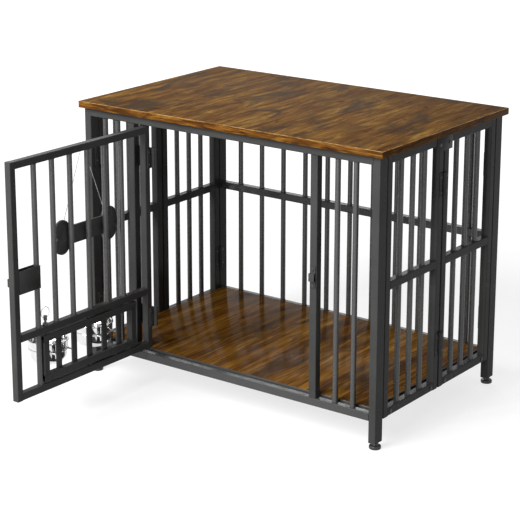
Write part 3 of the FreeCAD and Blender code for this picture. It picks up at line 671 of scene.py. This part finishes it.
plates = {
    # node, body, slot, finish and width of the round
    "feederSlats": ("feeder_slats", "feeder", "steel", slatSteel, 0.5 * mm),
    "boneSign": ("bone_sign", "sign", "sign_board", signPaint, 0.8 * mm),
    "latchPlates": ("latch_plates", "door", "steel", steel, 0.5 * mm),
    "latchBolt": ("latch_bolt", "bolt", "steel", steel, 0.6 * mm),
    "latchGuides": ("latch_guides", "door", "steel", steel, 0.5 * mm),
    "latchKeeper": ("latch_keeper", "frame", "steel", steel, 0.5 * mm),
    "seamBrackets": ("seam_brackets", "frame", "steel", steel, 0.5 * mm),
}
for name, facts in plates.items():
    softened(name, *facts)
print("edges softened")


# weld beads round the ends of the bars
bead = {"ring": 6.3 * mm, "wire": 1.1 * mm, "turns": 20, "sides": 6, "uneven": 0.18 * mm}


def makeBead():
    bpy.ops.mesh.primitive_torus_add(major_radius=bead["ring"], minor_radius=bead["wire"],
                                     major_segments=bead["turns"], minor_segments=bead["sides"])
    piece = named("weldBead")
    for point in piece.data.vertices:
        point.co += Vector([luck.uniform(-1, 1) * bead["uneven"] for _ in range(3)])
    return smooth(piece, 80)


def weldBars(name, body, barNodes, pattern):
    beads = []
    for node in barNodes:
        for low, high in solidBoxes(node):
            x, y, z = middle(low, high)
            for level in (low[2], high[2]):
                turn = Matrix.Rotation(luck.uniform(0, math.tau), 4, "Z")
                beads.append(copyOf(pattern, moved(x, y, level) @ turn))
    dress(join(name, beads), body, steel)


pattern = makeBead()
panelBars = [panel + "_bars" for panel in panels]
weldBars("frameWelds", "frame", ["front_fixed_bars", "rear_bars", *panelBars], pattern)
weldBars("doorWelds", "door", ["door_bars"], pattern)
drop(pattern)
print("bars welded")


# caps in both open ends of the upright tubes, which are told from the rails by their height
cap = {
    "panelSide": 15.8 * mm, "doorSide": 13.8 * mm, "thick": 2 * mm, "proud": 0.2 * mm, "round": 0.4 * mm,
    "tubeTall": 400 * mm,
}


def makeCap(side):
    bpy.ops.mesh.primitive_cube_add(size=1, scale=(side, side, cap["thick"]))
    piece = applyPlace(named("capPattern"))
    editAll(piece, "EDGE")
    bpy.ops.mesh.bevel(offset=cap["round"], segments=2)
    objectMode()
    return smooth(piece, 40)


def tubeEnds(names):
    inset = cap["thick"] / 2 - cap["proud"]
    places = []
    for name in names:
        for low, high in solidBoxes(name):
            if high[2] - low[2] > cap["tubeTall"]:
                x, y, z = middle(low, high)
                places += [(x, y, low[2] + inset), (x, y, high[2] - inset)]
    return places


def capTubes(name, body, tubes, side, turn):
    pattern = makeCap(side)
    caps = [copyOf(pattern, moved(*place) @ turn) for place in tubeEnds(tubes)]
    drop(pattern)
    dress(join(name, caps), body, footPlastic)


panelFrames = [panel + "_frame" for panel in panels]
capTubes("panelTubeCaps", "frame", panelFrames, cap["panelSide"], Matrix.Identity(4))
capTubes("doorTubeCaps", "door", ["door_hinge_stile", "door_latch_stile"], cap["doorSide"], doorTurn)
print("tubes capped")


# a screw's pan head: its round is a share of its rise, and the cross recess is shares of its radius
head = {"sides": 20, "round": 0.4, "crossLong": 1.15, "crossWide": 0.28}


def makeScrew(radius, rise):
    bpy.ops.mesh.primitive_cylinder_add(vertices=head["sides"], radius=radius, depth=rise,
                                        location=(0, 0, rise / 2))
    piece = applyPlace(named("screwPattern"))
    editEdges(piece, lambda point: point.z, 0.9 * rise)
    bpy.ops.mesh.bevel(offset=rise * head["round"], segments=3)
    objectMode()
    for angle in (0, 90):
        bpy.ops.mesh.primitive_cube_add(size=1, location=(0, 0, rise), rotation=(0, 0, math.radians(angle)),
                                        scale=(radius * head["crossLong"], radius * head["crossWide"], rise))
        blade = applyPlace(named("blade"))
        modify(piece, "BOOLEAN", object=blade, operation="DIFFERENCE", solver="EXACT")
        drop(blade)
    return smooth(piece, 30)


def placeScrews(name, body, places, facts, replaced=()):
    pattern = makeScrew(facts["screw"], facts["rise"])
    heads = []
    for place, out in places:
        turn = Vector(out).to_track_quat("Z", "X").to_matrix().to_4x4()
        spin = Matrix.Rotation(luck.uniform(0, math.pi / 2), 4, "Z")
        heads.append(copyOf(pattern, moved(*place) @ turn @ spin))
    drop(pattern)
    dress(join(name, heads), body, screwSteel, replaced)


# the big screws at the posts: each head starts at the inner face of its box and looks outwards
big = {"screw": 3.9 * mm, "rise": 1.9 * mm}


def bigScrews():
    places = []
    for low, high in solidBoxes("frame_screws"):
        centre = middle(low, high)
        axis = min((0, 1), key=lambda i: high[i] - low[i])
        side = -1 if centre[axis] < 0 else 1
        centre[axis] = high[axis] if side < 0 else low[axis]
        out = [0, 0, 0]
        out[axis] = side
        places.append((centre, out))
    return places


placeScrews("frameScrews", "frame", bigScrews(), big, ["frame_screws"])

# the hinges of the side panels
leaf = {"screw": 2.4 * mm, "rise": 0.7 * mm, "out": 10.5 * mm, "up": 17 * mm, "back": 2 * mm}


# the heads look outwards at the seam of two leaves, and inwards at the posts
def leafScrews():
    places = []
    for low, high in solidBoxes("panel_hinge_pins"):
        x, y, z = middle(low, high)
        side = -1 if x < 0 else 1
        look = side if abs(y) < leaf["out"] else -side
        for across in (-1, 1):
            for up in (-1, 1):
                place = (x - look * leaf["back"], y + across * leaf["out"], z + up * leaf["up"])
                places.append((place, (look, 0, 0)))
    return places


placeScrews("panelHingeScrews", "frame", leafScrews(), leaf)

# the door's butt hinges
butt = {
    "heights": (166 * mm, 536 * mm), "up": 14 * mm, "frameX": -43 * mm, "frameY": -1 * mm,
    "doorX": 11.5 * mm, "doorY": -3 * mm, "screw": 2.3 * mm, "rise": 0.7 * mm,
}


def buttScrews(place, across, back):
    out = place.to_3x3() @ Vector((0, 1, 0))
    levels = [level + up for level in butt["heights"] for up in (-butt["up"], butt["up"])]
    return [(place @ Vector((across, back, level)), out) for level in levels]


placeScrews("doorHingeFrameScrews", "frame", buttScrews(hingePlace, butt["frameX"], butt["frameY"]), butt)
placeScrews("doorHingeDoorScrews", "door", buttScrews(doorFrame, butt["doorX"], butt["doorY"]), butt)
print("screws driven")


lamps = {
    "keyLamp": {"place": (-0.7, -3.3, 3.0), "size": (2.0, 2.2), "power": 240},
    "stripLamp": {"place": (0.8, -3.9, 0.6), "size": (0.45, 1.15), "power": 56},
    "rearLamp": {"place": (-2.4, 3.4, 2.6), "size": (1.6, 1.2), "power": 34},
    "topLamp": {"place": (0.2, 0.3, 4.2), "size": (3.0, 3.0), "power": 35},
}
studio = {
    "aim": (0, 0, 0.3), "ambient": 0.12, "floorWide": 40, "floorTone": 0.30, "floorGlow": 0.76,
    "nearby": 0.9, "far": 2.8,
}


def makeLamp(name, facts):
    bpy.ops.object.light_add(type="AREA", location=facts["place"])
    lamp = bpy.context.object
    lamp.name = name
    lamp.data.shape = "RECTANGLE"
    lamp.data.size, lamp.data.size_y = facts["size"]
    lamp.data.energy = facts["power"]
    aim = Vector(studio["aim"]) - Vector(facts["place"])
    lamp.rotation_euler = aim.to_track_quat("-Z", "Y").to_euler()


# 1 on the rays that show the background, in the picture and in metal and glass
def seenLight(tree):
    rays = addNode(tree, "LightPath").outputs
    seen = rays["Is Camera Ray"]
    for kind in ("Is Glossy Ray", "Is Transmission Ray"):
        seen = addNode(tree, "Math", {0: seen, 1: rays[kind]}, operation="MAXIMUM").outputs[0]
    return seen


def makeWorld():
    world = bpy.data.worlds.new("studio")
    bpy.context.scene.world = world
    world.use_nodes = True
    tree = world.node_tree
    backdrop = tree.nodes["Background"]
    backdrop.inputs["Color"].default_value = (1, 1, 1, 1)
    inputs = {"Value": seenLight(tree), "To Min": studio["ambient"], "To Max": 1}
    tree.links.new(addNode(tree, "MapRange", inputs).outputs["Result"], backdrop.inputs["Strength"])


# the floor glows less near the crate, where it takes the shadow, and is plain white further out
def makeFloor():
    bpy.ops.mesh.primitive_plane_add(size=studio["floorWide"])
    floor = named("studioFloor")
    material = bpy.data.materials.new("studioFloor")
    material.use_nodes = True
    tree = material.node_tree
    tree.nodes.remove(tree.nodes["Principled BSDF"])
    tone = studio["floorTone"]
    matt = addNode(tree, "BsdfDiffuse", {"Color": (tone, tone, tone, 1)})
    glow = addNode(tree, "Emission", {"Color": (1, 1, 1, 1)})
    reach = addNode(tree, "VectorMath", {0: objectPlace(tree)}, operation="LENGTH").outputs["Value"]
    fade = {"Value": reach, "From Min": studio["nearby"], "From Max": studio["far"],
            "To Min": studio["floorGlow"], "To Max": 1}
    power = {0: seenLight(tree), 1: addNode(tree, "MapRange", fade).outputs["Result"]}
    tree.links.new(addNode(tree, "Math", power, operation="MULTIPLY").outputs[0], glow.inputs["Strength"])
    both = addNode(tree, "AddShader", {0: matt.outputs[0], 1: glow.outputs[0]})
    tree.links.new(both.outputs[0], tree.nodes["Material Output"].inputs["Surface"])
    paint(floor, material)


for name, facts in lamps.items():
    makeLamp(name, facts)
makeWorld()
makeFloor()
bpy.context.scene.view_settings.view_transform = "Standard"
print("stage lit")

deselectAll()
